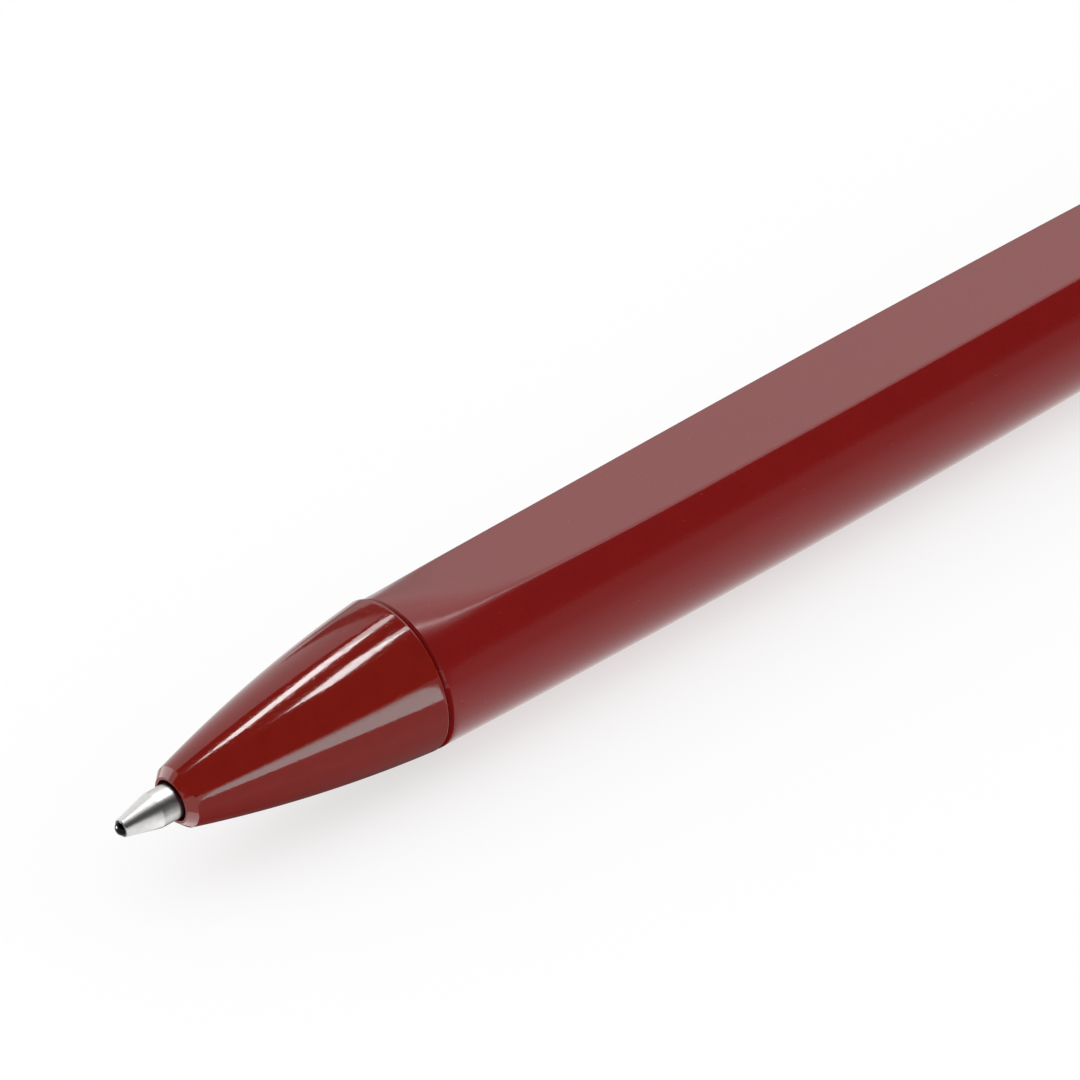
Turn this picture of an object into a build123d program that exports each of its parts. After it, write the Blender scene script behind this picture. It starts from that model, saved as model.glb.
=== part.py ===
from build123d import *
import math
import os

os.makedirs("parts", exist_ok=True)

# A retractable ballpoint pen that lies along X on its underside, with its long flat facing up.
# The tip points towards -X. Millimetres. Distances along the pen are measured from the seam
# between the nose cone and the barrel, and are positive towards the push button.

# Barrel: a slightly swollen round body with one long flat
barrel_max_dia = 11.18
seam_step = 0.49
barrel_len = 95.0
barrel_apex = 36.5
barrel_bore_dia = 4.9
rest_flat_depth = 0.06
seam_round = 0.35

# Flat on the barrel, which fades into the round near both ends
flat_height = 3.42
flat_end_rise = 0.46
flat_ease_len = 28.0
flat_clip_margin = 0.8
flat_fade_len = 12.0
flat_fade_power = 3
flat_lift = 0.02
flat_margin = 0.2
flat_fade_steps = 6
flat_step_power = 1.5

# Nose cone
nose_len = 17.0
nose_front_dia = 4.0
nose_bulge = 0.36
nose_bevel_len = 0.5
nose_bevel_drop = 0.48
spigot_dia = 6.0
spigot_len = 9.0
spring_room_dia = 4.4
spring_seat_depth = 4.6

# Refill
ball_dia = 1.0
ball_showing = 0.32
tip_dia = 2.3
tip_reach = 4.05
tip_cone_len = 2.4
tip_crimp_dia = 1.14
tip_mouth_dia = 1.04
tip_shank_dia = 1.6
tip_shank_len = 4.0
tip_body_len = 8.6
ink_duct_dia = 0.7
holder_dia = 2.5
collar_dia = 4.0
collar_len = 1.5
collar_place = 1.5
holder_plug_len = 5.0
refill_tube_dia = 3.15
refill_tube_wall = 0.45
ink_air_gap = 11.0
end_plug_shank_len = 5.0
end_plug_head_len = 2.5
vent_dia = 0.8

# Return spring
spring_wire_dia = 0.4
spring_mean_dia = 3.7
spring_turns = 8

# Push mechanism
retract_travel = 6.5
press_travel = 1.3
guide_dia = 5.44
guide_len = 19.5
guide_tail_len = 3.5
guide_bore_dia = 3.5
slot_count = 4
slot_width = 1.5
slot_floor_dia = 4.6
cam_core_dia = 3.2
cam_len = 4.6
cam_fin_len = 2.8
cam_pin_dia = 1.6
cam_pin_len = 3.5
tooth_depth = 0.6
tooth_width = 0.6
key_len = 3.0
key_setback = 1.5
button_dia = 4.6
button_reach = 5.5
button_hold = 1.2
button_end_gap = 0.5
button_round = 1.1
button_socket_depth = 5.0

# Rear cap and clip
cap_rear_dia = 7.4
cap_round = 0.9
clip_len = 42.0
clip_width = 3.6
clip_thick = 1.35
clip_gap = 1.3
clip_foot_len = 5.0
clip_foot_depth = 0.85
clip_bump_len = 4.8
clip_edge_round = 0.3
clip_end_margin = 1.2

# Clearances
fit_gap = 0.03
slide_gap = 0.1
ball_gap = 0.01
tip_gap = 0.2
seat_gap = 0.05
touch_gap = 0.1

# Radii worked out from the sizes above
barrel_max_rad = barrel_max_dia / 2
seam_rad = barrel_max_rad - seam_step
guide_rad = guide_dia / 2
cam_rad = cam_core_dia / 2
tube_rad = refill_tube_dia / 2
tube_bore_rad = tube_rad - refill_tube_wall
button_rad = button_dia / 2
flat_steps = [
    flat_fade_len * (number / flat_fade_steps) ** flat_step_power
    for number in range(flat_fade_steps + 1)
]

# Places along the pen, from the tip to the push button
ball_front = -(nose_len + tip_reach)
ball_place = ball_front + ball_dia / 2
crimp_place = ball_front + ball_showing
tip_shoulder = crimp_place + tip_cone_len
tip_rear = -nose_len + tip_body_len
spring_seat = -nose_len + spring_seat_depth
tube_front = collar_place + collar_len
guide_rear = barrel_len + guide_tail_len
guide_front = guide_rear - guide_len
ribs_front = guide_front + press_travel + seat_gap + cam_fin_len + seat_gap
cam_front = ribs_front - seat_gap - cam_fin_len
cam_rear = cam_front + cam_len
end_plug_rear = cam_front
tube_rear = end_plug_rear - end_plug_head_len
thruster_front = cam_rear + seat_gap
key_front = thruster_front + key_setback
button_front = guide_rear + button_end_gap + press_travel
cap_rear = button_front + button_hold + retract_travel
button_rear = cap_rear + button_reach
clip_foot_rear = cap_rear - clip_end_margin
clip_foot_front = clip_foot_rear - clip_foot_len
clip_front = clip_foot_rear - clip_len
flat_rear = clip_front - flat_clip_margin
flat_rear_ease_len = barrel_len - flat_rear

# The pen's frame: its middle over the origin, the shallow flat of its underside on the ground
seam_x = -(ball_front + button_rear) / 2
axis_z = barrel_max_rad - rest_flat_depth
pen_axis = Axis((seam_x, 0, axis_z), (1, 0, 0))
pen_plane = Plane(origin=(seam_x, 0, axis_z), x_dir=(1, 0, 0), z_dir=(0, -1, 0))


def cross_plane(place):
    """The plane square to the pen at a place along it, with its own y axis pointing up."""
    return Plane(origin=(seam_x + place, 0, axis_z), x_dir=(0, 1, 0), z_dir=(1, 0, 0))


def barrel_radius(place):
    """Radius of the round body at a place: two shallow arcs that meet at its widest place."""
    reach, end_rad = (barrel_apex, seam_rad)
    if place > barrel_apex:
        reach, end_rad = (cap_rear - barrel_apex, cap_rear_dia / 2)
    fall = barrel_max_rad - end_rad
    bow = (reach**2 + fall**2) / (2 * fall)
    return barrel_max_rad - bow + math.sqrt(bow**2 - (place - barrel_apex) ** 2)


def flat_chord(from_end, ease_len):
    """Height of the flat's edges above the axis, which rises a little towards each end."""
    share = max(0.0, 1 - from_end / ease_len)
    return flat_height + flat_end_rise * share**2


def flat_fade(from_end):
    """How much of the round is left on the flat: all of it at the end, none further in."""
    return max(0.0, 1 - from_end / flat_fade_len) ** flat_fade_power


def turn(*outline, mode=Mode.ADD):
    """Turns a closed outline of (place, radius) points about the pen's axis."""
    with BuildSketch(pen_plane) as profile:
        with BuildLine():
            Polyline(*outline, close=True)
        make_face()
    revolve(profile.sketch, axis=pen_axis, mode=mode)


def drill(start, end, radius):
    """Cuts a round bore along the pen's axis."""
    turn((start, 0), (end, 0), (end, radius), (start, radius), mode=Mode.SUBTRACT)


def flat_cutter(place, from_end, ease_len):
    """Outline of what is cut away above the flat: its lower edge bends into the round near an end."""
    radius = barrel_radius(place)
    reach = radius - flat_margin
    edge_height = flat_chord(from_end, ease_len)
    crown = (radius - edge_height) * flat_fade(from_end)
    height = edge_height + crown + flat_lift * flat_fade(from_end)
    with BuildSketch(cross_plane(place)) as section:
        with BuildLine():
            if crown > 0:
                bend = (radius**2 - edge_height**2 + crown**2) / (2 * crown)
                low = height - bend + math.sqrt(bend**2 - reach**2)
                ThreePointArc((-reach, low), (0, height), (reach, low))
            else:
                low = height
                Line((-reach, low), (reach, low))
            Polyline((reach, low), (reach, barrel_max_dia), (-reach, barrel_max_dia), (-reach, low))
        make_face()
    return section.sketch


# Nose cone: an ogive shell with a plain spigot where it screws into the barrel
with BuildPart() as nose_cone:
    with BuildSketch(pen_plane) as nose_profile:
        with BuildLine():
            bevel_edge = (-nose_len + nose_bevel_len, nose_front_dia / 2)
            ogive = SagittaArc((0, seam_rad), bevel_edge, -nose_bulge)
            Polyline(
                ogive @ 1,
                (-nose_len, nose_front_dia / 2 - nose_bevel_drop),
                (-nose_len, 0),
                (spigot_len, 0),
                (spigot_len, spigot_dia / 2),
                (0, spigot_dia / 2),
                ogive @ 0,
            )
        make_face()
    revolve(axis=pen_axis)
    drill(-nose_len, spring_seat, tip_dia / 2 + tip_gap)
    drill(spring_seat, spigot_len, spring_room_dia / 2)
nose_cone.part.label = "nose_cone"
export_step(nose_cone.part, "parts/nose_cone.step")

# Barrel: the swollen round body, its long flat, the shallow flat that it lies on, and its bores
with BuildPart() as barrel:
    with BuildSketch(pen_plane):
        with BuildLine():
            front_swell = TangentArc((barrel_apex, barrel_max_rad), (0, seam_rad), tangent=(-1, 0))
            rear_swell = TangentArc(
                (barrel_apex, barrel_max_rad),
                (barrel_len, barrel_radius(barrel_len)),
                tangent=(1, 0),
            )
            Polyline(rear_swell @ 1, (barrel_len, 0), (0, 0), front_swell @ 1)
        make_face()
    revolve(axis=pen_axis)
    front_fade = [flat_cutter(step, step, flat_ease_len) for step in flat_steps]
    rear_fade = [flat_cutter(barrel_len - step, step, flat_rear_ease_len) for step in flat_steps]
    loft(front_fade, ruled=True, mode=Mode.SUBTRACT)
    loft(rear_fade, ruled=True, mode=Mode.SUBTRACT)
    with BuildSketch(pen_plane):
        with BuildLine():
            front_ease = TangentArc(
                (flat_ease_len, flat_height),
                (flat_fade_len, flat_chord(flat_fade_len, flat_ease_len)),
                tangent=(-1, 0),
            )
            rear_ease = TangentArc(
                (flat_rear, flat_height),
                (barrel_len - flat_fade_len, flat_chord(flat_fade_len, flat_rear_ease_len)),
                tangent=(1, 0),
            )
            Line(front_ease @ 0, rear_ease @ 0)
            Polyline(
                front_ease @ 1,
                (flat_fade_len, barrel_max_dia),
                (barrel_len - flat_fade_len, barrel_max_dia),
                rear_ease @ 1,
            )
        make_face()
    extrude(amount=barrel_max_dia, both=True, mode=Mode.SUBTRACT)
    drill(0, spigot_len + seat_gap, spigot_dia / 2 + fit_gap)
    drill(0, barrel_len, barrel_bore_dia / 2)
    drill(guide_front - seat_gap, barrel_len, guide_rad + fit_gap)
    with BuildSketch(pen_plane) as corner:
        with BuildLine():
            rounding = TangentArc(
                (0, seam_rad - seam_round),
                (seam_round, barrel_radius(seam_round)),
                tangent=(0, 1),
            )
            Polyline(
                rounding @ 1,
                (seam_round, seam_rad + seam_round),
                (0, seam_rad + seam_round),
                rounding @ 0,
            )
        make_face()
    revolve(corner.sketch, axis=pen_axis, mode=Mode.SUBTRACT)
    with BuildSketch() as ground:
        with Locations((seam_x + barrel_apex, 0)):
            Rectangle(barrel_len, barrel_max_dia)
    extrude(ground.sketch, amount=-2 * rest_flat_depth, mode=Mode.SUBTRACT)
barrel.part.label = "barrel"
export_step(barrel.part, "parts/barrel.step")

# Return spring: one unbroken wire whose turns are worked out a quarter turn at a time
spring_front = spring_seat + seat_gap + spring_wire_dia / 2
spring_rear = collar_place - seat_gap - spring_wire_dia / 2
spring_rad = spring_mean_dia / 2
spring_pitch = (spring_rear - spring_front) / spring_turns
quarter = math.pi / 2


def spring_point(angle):
    """Middle of the wire after a given angle of winding."""
    along = seam_x + spring_front + spring_pitch * angle / (2 * math.pi)
    return Vector(along, spring_rad * math.cos(angle), axis_z + spring_rad * math.sin(angle))


def spring_direction(angle):
    """Direction of the wire after a given angle of winding."""
    lead = spring_pitch / (2 * math.pi)
    return Vector(lead, -spring_rad * math.sin(angle), spring_rad * math.cos(angle)).normalized()


def biarc(start, start_way, end, end_way):
    """Two arcs that leave the start and reach the end in the given directions."""
    step = end - start
    spread = 1 - start_way.dot(end_way)
    pull = step.dot(start_way + end_way)
    reach = (math.sqrt(pull**2 + 2 * spread * step.dot(step)) - pull) / (2 * spread)
    middle = (start + end + (start_way - end_way) * reach) / 2
    middle_way = (end - end_way * reach) - (start + start_way * reach)
    TangentArc(start, middle, tangent=start_way)
    TangentArc(middle, end, tangent=middle_way)


with BuildPart() as return_spring:
    with BuildLine() as coil:
        for number in range(4 * spring_turns):
            first = number * quarter
            last = first + quarter
            biarc(spring_point(first), spring_direction(first), spring_point(last), spring_direction(last))
    with BuildSketch(Plane(origin=spring_point(0), z_dir=spring_direction(0))):
        Circle(spring_wire_dia / 2)
    sweep(path=coil.wire())
return_spring.part.label = "return_spring"
export_step(return_spring.part, "parts/return_spring.step")

samples_per_turn = 48
sample_angle = 2 * math.pi / samples_per_turn
winding = [spring_point(number * sample_angle) for number in range(spring_turns * samples_per_turn + 1)]
spring_clear = min(
    (later - earlier).length - spring_wire_dia
    for number, earlier in enumerate(winding)
    for later in winding[number + samples_per_turn // 2 :]
)
print("return_spring: least gap between turns", round(spring_clear, 2), "mm")

# Ball: the writing ball, free to roll in its seat
with BuildPart() as writing_ball:
    with Locations((seam_x + ball_place, 0, axis_z)):
        Sphere(ball_dia / 2)
writing_ball.part.label = "writing_ball"
export_step(writing_ball.part, "parts/writing_ball.step")

# Tip: the turned metal point with its cone, crimped mouth, ball seat and ink duct
tip_rad = tip_dia / 2
crimp_rad = tip_crimp_dia / 2
seat_rad = ball_dia / 2 + ball_gap
with BuildPart() as point_tip:
    turn(
        (crimp_place, 0),
        (crimp_place, tip_mouth_dia / 2),
        (crimp_place + (crimp_rad - tip_mouth_dia / 2), crimp_rad),
        (tip_shoulder, tip_rad),
        (tip_rear, tip_rad),
        (tip_rear, tip_shank_dia / 2),
        (tip_rear + tip_shank_len, tip_shank_dia / 2),
        (tip_rear + tip_shank_len, 0),
    )
    with Locations((seam_x + ball_place, 0, axis_z)):
        Sphere(seat_rad, mode=Mode.SUBTRACT)
    drill(ball_place, tip_rear + tip_shank_len, ink_duct_dia / 2)
point_tip.part.label = "point_tip"
export_step(point_tip.part, "parts/point_tip.step")

# Tip holder: joins the tip to the tube and carries the collar that the spring pushes on
with BuildPart() as tip_holder:
    turn(
        (tip_rear, 0),
        (tip_rear, holder_dia / 2),
        (collar_place, holder_dia / 2),
        (collar_place, collar_dia / 2),
        (tube_front, collar_dia / 2),
        (tube_front, tube_bore_rad - fit_gap),
        (tube_front + holder_plug_len, tube_bore_rad - fit_gap),
        (tube_front + holder_plug_len, 0),
    )
    drill(tip_rear, tip_rear + tip_shank_len + seat_gap, tip_shank_dia / 2 + fit_gap)
    drill(tip_rear, tube_front + holder_plug_len, ink_duct_dia / 2)
tip_holder.part.label = "tip_holder"
export_step(tip_holder.part, "parts/tip_holder.step")

# Refill tube
with BuildPart() as refill_tube:
    turn((tube_front, 0), (tube_rear, 0), (tube_rear, tube_rad), (tube_front, tube_rad))
    drill(tube_front, tube_rear, tube_bore_rad)
refill_tube.part.label = "refill_tube"
export_step(refill_tube.part, "parts/refill_tube.step")

# Ink: the column that stands behind the tip holder
ink_front = tube_front + holder_plug_len + seat_gap
ink_rear = tube_rear - end_plug_shank_len - ink_air_gap
ink_rad = tube_bore_rad - fit_gap
with BuildPart() as ink_column:
    turn((ink_front, 0), (ink_rear, 0), (ink_rear, ink_rad), (ink_front, ink_rad))
ink_column.part.label = "ink_column"
export_step(ink_column.part, "parts/ink_column.step")

# End plug: closes the tube, lets air in and takes the cam's push
with BuildPart() as refill_end_plug:
    turn(
        (tube_rear - end_plug_shank_len, 0),
        (tube_rear - end_plug_shank_len, tube_bore_rad - fit_gap),
        (tube_rear, tube_bore_rad - fit_gap),
        (tube_rear, tube_rad),
        (end_plug_rear, tube_rad),
        (end_plug_rear, 0),
    )
    drill(tube_rear - end_plug_shank_len, end_plug_rear, vent_dia / 2)
refill_end_plug.part.label = "refill_end_plug"
export_step(refill_end_plug.part, "parts/refill_end_plug.step")


def spokes(start, length, outer_rad, width, mode=Mode.ADD):
    """Bars that stand out from the axis, one for each slot of the guide."""
    with BuildSketch(cross_plane(start)) as bars:
        with PolarLocations(outer_rad / 2, slot_count):
            Rectangle(outer_rad, width)
    extrude(bars.sketch, amount=length, mode=mode)


def crown_teeth(face_place, way, turned_by):
    """Cuts V grooves across a face, twice as many as the guide has slots."""
    for number in range(slot_count):
        angle = turned_by + 180 * number / slot_count
        with BuildSketch(pen_plane.rotated((angle, 0, 0))) as groove:
            with BuildLine():
                Polyline(
                    (face_place + way * tooth_depth, 0),
                    (face_place - way * seat_gap, tooth_width / 2),
                    (face_place - way * seat_gap, -tooth_width / 2),
                    close=True,
                )
            make_face()
        extrude(groove.sketch, amount=guide_rad, both=True, mode=Mode.SUBTRACT)


# Ratchet cam: the turning piece between the button and the refill, with fins for the slots
fin_rad = slot_floor_dia / 2 - slide_gap
fin_width = slot_width - 2 * slide_gap
tooth_turn = 180 / (2 * slot_count)
with BuildPart() as ratchet_cam:
    turn((cam_front, 0), (cam_rear, 0), (cam_rear, cam_rad), (cam_front, cam_rad))
    spokes(cam_front, cam_fin_len, fin_rad, fin_width)
    crown_teeth(cam_rear, -1, 0)
    turn(
        (cam_front + cam_fin_len, 0),
        (cam_rear + cam_pin_len, 0),
        (cam_rear + cam_pin_len, cam_pin_dia / 2),
        (cam_front + cam_fin_len, cam_pin_dia / 2),
    )
ratchet_cam.part.label = "ratchet_cam"
export_step(ratchet_cam.part, "parts/ratchet_cam.step")

# Thruster: the toothed stem that the button pushes, keyed to the guide's slots
stem_rear = button_front + button_socket_depth - seat_gap
with BuildPart() as thruster:
    turn((thruster_front, 0), (stem_rear, 0), (stem_rear, cam_rad), (thruster_front, cam_rad))
    spokes(key_front, key_len, fin_rad, fin_width)
    crown_teeth(thruster_front, 1, tooth_turn)
    drill(thruster_front, cam_rear + cam_pin_len + slide_gap, cam_pin_dia / 2 + slide_gap)
thruster.part.label = "thruster"
export_step(thruster.part, "parts/thruster.step")

# Guide: the fixed sleeve whose slots guide the cam's fins and the thruster's keys
slot_rear = key_front + key_len + retract_travel + seat_gap
with BuildPart() as guide_sleeve:
    turn((guide_front, 0), (guide_rear, 0), (guide_rear, guide_rad), (guide_front, guide_rad))
    drill(guide_front, guide_rear, guide_bore_dia / 2)
    drill(guide_front, ribs_front, slot_floor_dia / 2)
    spokes(guide_front, slot_rear - guide_front, slot_floor_dia / 2, slot_width, mode=Mode.SUBTRACT)
guide_sleeve.part.label = "guide_sleeve"
export_step(guide_sleeve.part, "parts/guide_sleeve.step")

# Rear cap: the glossy ring that closes the barrel and carries the clip
foot_floor = barrel_radius(clip_foot_rear) - clip_foot_depth
with BuildPart() as rear_cap:
    with BuildSketch(pen_plane) as cap_profile:
        with BuildLine():
            taper = ThreePointArc(
                (barrel_len, barrel_radius(barrel_len)),
                ((barrel_len + cap_rear) / 2, barrel_radius((barrel_len + cap_rear) / 2)),
                (cap_rear, barrel_radius(cap_rear)),
            )
            Polyline(taper @ 1, (cap_rear, 0), (barrel_len, 0), taper @ 0)
        make_face()
    revolve(axis=pen_axis)
    fillet(rear_cap.faces().sort_by(Axis.X)[-1].outer_wire().edges(), cap_round)
    drill(barrel_len, guide_rear + seat_gap, guide_rad + fit_gap)
    drill(barrel_len, cap_rear, button_rad + slide_gap)
    with BuildSketch(Plane(origin=(seam_x, 0, axis_z + foot_floor))):
        with Locations(((clip_foot_front + clip_foot_rear) / 2, 0)):
            Rectangle(clip_foot_len + 2 * seat_gap, clip_width + 2 * seat_gap)
    extrude(amount=seam_rad, mode=Mode.SUBTRACT)
rear_cap.part.label = "rear_cap"
export_step(rear_cap.part, "parts/rear_cap.step")

# Clip: a springy bar over the flat, with a bump that bears on it near its free end
clip_under = barrel_radius(barrel_len) + clip_gap - clip_foot_depth / 2
clip_top = clip_under + clip_thick
bump_place = clip_front + clip_bump_len / 2
bump_low = flat_height + touch_gap
with BuildPart() as clip:
    with BuildSketch(pen_plane) as clip_profile:
        with BuildLine():
            bump = ThreePointArc(
                (clip_front, clip_under),
                (bump_place, bump_low),
                (clip_front + clip_bump_len, clip_under),
            )
            Polyline(
                bump @ 1,
                (clip_foot_front, clip_under),
                (clip_foot_front, foot_floor + seat_gap),
                (clip_foot_rear, foot_floor + seat_gap),
                (clip_foot_rear, clip_top - clip_thick / 2),
                (clip_foot_rear - clip_thick / 2, clip_top),
                (clip_front + clip_thick / 2, clip_top),
                (clip_front, clip_top - clip_thick / 2),
                bump @ 0,
            )
        make_face()
    extrude(amount=clip_width / 2, both=True)
    fillet(clip.faces().sort_by(Axis.Z)[-1].edges(), clip_edge_round)
clip.part.label = "clip"
export_step(clip.part, "parts/clip.step")

# Push button: the domed cap pressed on the thruster's stem
with BuildPart() as push_button:
    turn((button_front, 0), (button_rear, 0), (button_rear, button_rad), (button_front, button_rad))
    fillet(push_button.faces().sort_by(Axis.X)[-1].edges(), button_round)
    drill(button_front, button_front + button_socket_depth, cam_rad + fit_gap)
push_button.part.label = "push_button"
export_step(push_button.part, "parts/push_button.step")
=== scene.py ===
import math

import bmesh
import bpy
import numpy as np
from mathutils import Matrix, Vector


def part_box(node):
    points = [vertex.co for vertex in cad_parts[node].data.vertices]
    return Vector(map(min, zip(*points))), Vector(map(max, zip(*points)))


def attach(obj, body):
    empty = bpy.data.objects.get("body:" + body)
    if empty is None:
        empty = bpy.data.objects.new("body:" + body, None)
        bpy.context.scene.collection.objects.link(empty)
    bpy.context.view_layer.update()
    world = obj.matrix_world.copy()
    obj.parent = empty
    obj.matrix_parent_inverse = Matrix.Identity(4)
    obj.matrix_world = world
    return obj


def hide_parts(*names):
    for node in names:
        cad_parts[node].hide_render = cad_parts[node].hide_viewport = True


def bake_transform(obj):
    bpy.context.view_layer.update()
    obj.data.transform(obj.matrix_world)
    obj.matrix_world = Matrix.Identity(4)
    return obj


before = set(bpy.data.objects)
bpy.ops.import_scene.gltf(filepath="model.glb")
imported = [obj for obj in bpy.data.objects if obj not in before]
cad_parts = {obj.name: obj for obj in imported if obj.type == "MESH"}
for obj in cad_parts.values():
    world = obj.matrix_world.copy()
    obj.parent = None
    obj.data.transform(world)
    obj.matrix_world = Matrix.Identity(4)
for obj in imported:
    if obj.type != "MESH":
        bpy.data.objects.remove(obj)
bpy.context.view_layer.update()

MM = 0.001
MERGE_DIST = 1e-8
FINE_SEGMENTS = 192
SMALL_SEGMENTS = 128


def span(node):
    """Lowest and highest corner of a CAD node, in millimetres."""
    low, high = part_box(node)
    return low / MM, high / MM


barrel_low, barrel_high = span("barrel")
nose_low, nose_high = span("nose_cone")
_, cap_high = span("rear_cap")
clip_low, clip_high = span("clip")
button_low, button_high = span("push_button")
tip_low, tip_high = span("point_tip")
ball_low, ball_high = span("writing_ball")
spring_low, spring_high = span("return_spring")

# Places along the pen are in millimetres from the seam, towards the button.
seam_x = barrel_low.x
axis_z = (ball_low.z + ball_high.z) / 2
barrel_len = barrel_high.x - seam_x
cap_rear = cap_high.x - seam_x

# Barrel
barrel_max_rad = (barrel_high.y - barrel_low.y) / 2
barrel_apex = 36.5
seam_rad = (nose_high.y - nose_low.y) / 2
cap_rear_rad = 3.7
flat_height = 3.42
flat_front_rise = 0.85
flat_rear_rise = 0.46
flat_front_ease = 28.0
flat_rear_ease = 31.0
flat_front_power = 4
flat_rear_power = 2
flat_fade_len = 12.0
flat_fade_power = 3
flat_lift = 0.02
flat_edge_sharpness = 90
flat_edge_sharpness_at_end = 18
barrel_front_bevel = 0.36
barrel_rear_round = 0.12
socket_rad = 3.03
socket_len = 9.2
barrel_bore_rad = 2.45

# Nose cone
nose_len = seam_x - nose_low.x
spigot_len = nose_high.x - seam_x
spigot_rad = 3.0
nose_front_rad = 2.0
nose_bulge = 0.36
nose_bevel_len = 0.5
nose_bevel_drop = 0.48
nose_front_round = 0.05
nose_mouth_round = 0.05
nose_rear_round = 0.10
nose_bore_rad = 1.35
spring_room_rad = 2.2
spring_seat = 12.4

# Point and ball
ball_rad = (ball_high.x - ball_low.x) / 2
ball_place = (ball_low.x + ball_high.x) / 2 - seam_x
seat_clearance = 0.01
seat_rad = ball_rad + seat_clearance
crimp_place = tip_low.x - seam_x
crimp_rad = 0.57
crimp_face_rad = 0.52
tip_cone_len = 2.4
tip_shoulder = crimp_place + tip_cone_len
tip_rad = (tip_high.y - tip_low.y) / 2
shank_len = 4.0
shank_rad = 0.8
tip_rear = tip_high.x - seam_x - shank_len
duct_rad = 0.35

# Rear cap, clip and button
cap_round = 0.9
cap_bore_rad = 2.4
cap_socket_rad = 2.75
cap_socket_len = 3.55
cap_mouth_round = 0.2
foot_clearance = 0.05
foot_len = 5.0
foot_bottom = clip_low.z
clip_width = clip_high.y - clip_low.y
clip_thick = 1.35
clip_edge_round = 0.3
clip_nose_chamfer = clip_thick / 2
bump_len = 4.8
bump_drop = 1.68
button_rad = (button_high.y - button_low.y) / 2
button_round = 1.1
button_socket_rad = 1.63
button_socket_len = 5.0

# Return spring
wire_rad = 0.2
spring_turns = 8
spring_rad = (spring_high.y - spring_low.y) / 2 - wire_rad


# Meshes

def point_at(place, radius, angle):
    """A point in metres: radius and angle about the pen's axis, the angle from straight up."""
    return Vector((
        (seam_x + place) * MM,
        radius * math.sin(angle) * MM,
        (axis_z + radius * math.cos(angle)) * MM,
    ))


def new_piece(name, bm, sharp_angle=35.0):
    """Turns a bmesh into a smooth shaded object with sharp edges above an angle."""
    bmesh.ops.remove_doubles(bm, verts=bm.verts, dist=MERGE_DIST)
    bmesh.ops.recalc_face_normals(bm, faces=bm.faces)
    limit = math.radians(sharp_angle)
    for edge in bm.edges:
        edge.smooth = len(edge.link_faces) == 2 and edge.calc_face_angle() < limit
    mesh = bpy.data.meshes.new(name)
    bm.to_mesh(mesh)
    bm.free()
    for polygon in mesh.polygons:
        polygon.use_smooth = True
    piece = bpy.data.objects.new(name, mesh)
    bpy.context.scene.collection.objects.link(piece)
    return piece


def skin_rings(rings, closed):
    """A bmesh of quads between rings of points. A closed skin joins the last ring to the first."""
    bm = bmesh.new()
    rows = [[bm.verts.new(point) for point in ring] for ring in rings]
    count = len(rows[0])
    pairs = list(zip(rows, rows[1:]))
    if closed:
        pairs.append((rows[-1], rows[0]))
    for first, second in pairs:
        for i in range(count):
            j = (i + 1) % count
            bm.faces.new((first[i], first[j], second[j], second[i]))
    return bm


def rounded(corners, steps=6):
    """A closed outline from corners (place, radius, rounding), each rounding drawn as an arc."""
    outline = []
    for i, (place, radius, rounding) in enumerate(corners):
        here = Vector((place, radius))
        if rounding == 0:
            outline.append(here)
            continue
        before = Vector(corners[i - 1][:2]) - here
        after = Vector(corners[(i + 1) % len(corners)][:2]) - here
        before.normalize()
        after.normalize()
        half = math.acos(max(-1.0, min(1.0, before.dot(after)))) / 2
        start = here + before * rounding / math.tan(half)
        end = here + after * rounding / math.tan(half)
        centre = here + (before + after).normalized() * rounding / math.sin(half)
        for step in range(steps + 1):
            share = step / steps
            spoke = (start - centre).lerp(end - centre, share).normalized() * rounding
            outline.append(centre + spoke)
    return outline


def lathe(name, outline, segments):
    """A closed outline of (place, radius) turned about the pen's axis."""
    angles = [2 * math.pi * k / segments for k in range(segments)]
    rings = [[point_at(place, radius, angle) for angle in angles] for place, radius in outline]
    return new_piece(name, skin_rings(rings, closed=True))


def arc_radius(place, start, end, bulge):
    """Radius of an arc from start to end, both (place, radius), that bulges outwards."""
    start, end = Vector(start), Vector(end)
    chord = end - start
    bow = (chord.length ** 2 / 4 + bulge ** 2) / (2 * bulge)
    outwards = Vector((-chord.y, chord.x)).normalized()
    if outwards.y < 0:
        outwards.negate()
    centre = (start + end) / 2 - outwards * (bow - bulge)
    return centre.y + math.sqrt(bow ** 2 - (place - centre.x) ** 2)


def barrel_radius(place):
    """Round radius of the barrel and cap: two arcs that meet at the widest place."""
    if place < barrel_apex:
        reach, fall = barrel_apex, barrel_max_rad - seam_rad
    else:
        reach, fall = cap_rear - barrel_apex, barrel_max_rad - cap_rear_rad
    bow = (reach ** 2 + fall ** 2) / (2 * fall)
    return barrel_max_rad - bow + math.sqrt(bow ** 2 - (place - barrel_apex) ** 2)


def flat_chord(place):
    """Height of the flat's edges above the axis."""
    front = max(0.0, 1 - place / flat_front_ease)
    rear = max(0.0, 1 - (barrel_len - place) / flat_rear_ease)
    front_lift = flat_front_rise * front ** flat_front_power
    rear_lift = flat_rear_rise * rear ** flat_rear_power
    return flat_height + front_lift + rear_lift


def flat_fade(place):
    """How far the flat has faded into the round: 1 at the barrel's ends, 0 on the flat."""
    from_end = min(place, barrel_len - place)
    return max(0.0, 1 - from_end / flat_fade_len) ** flat_fade_power


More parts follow.
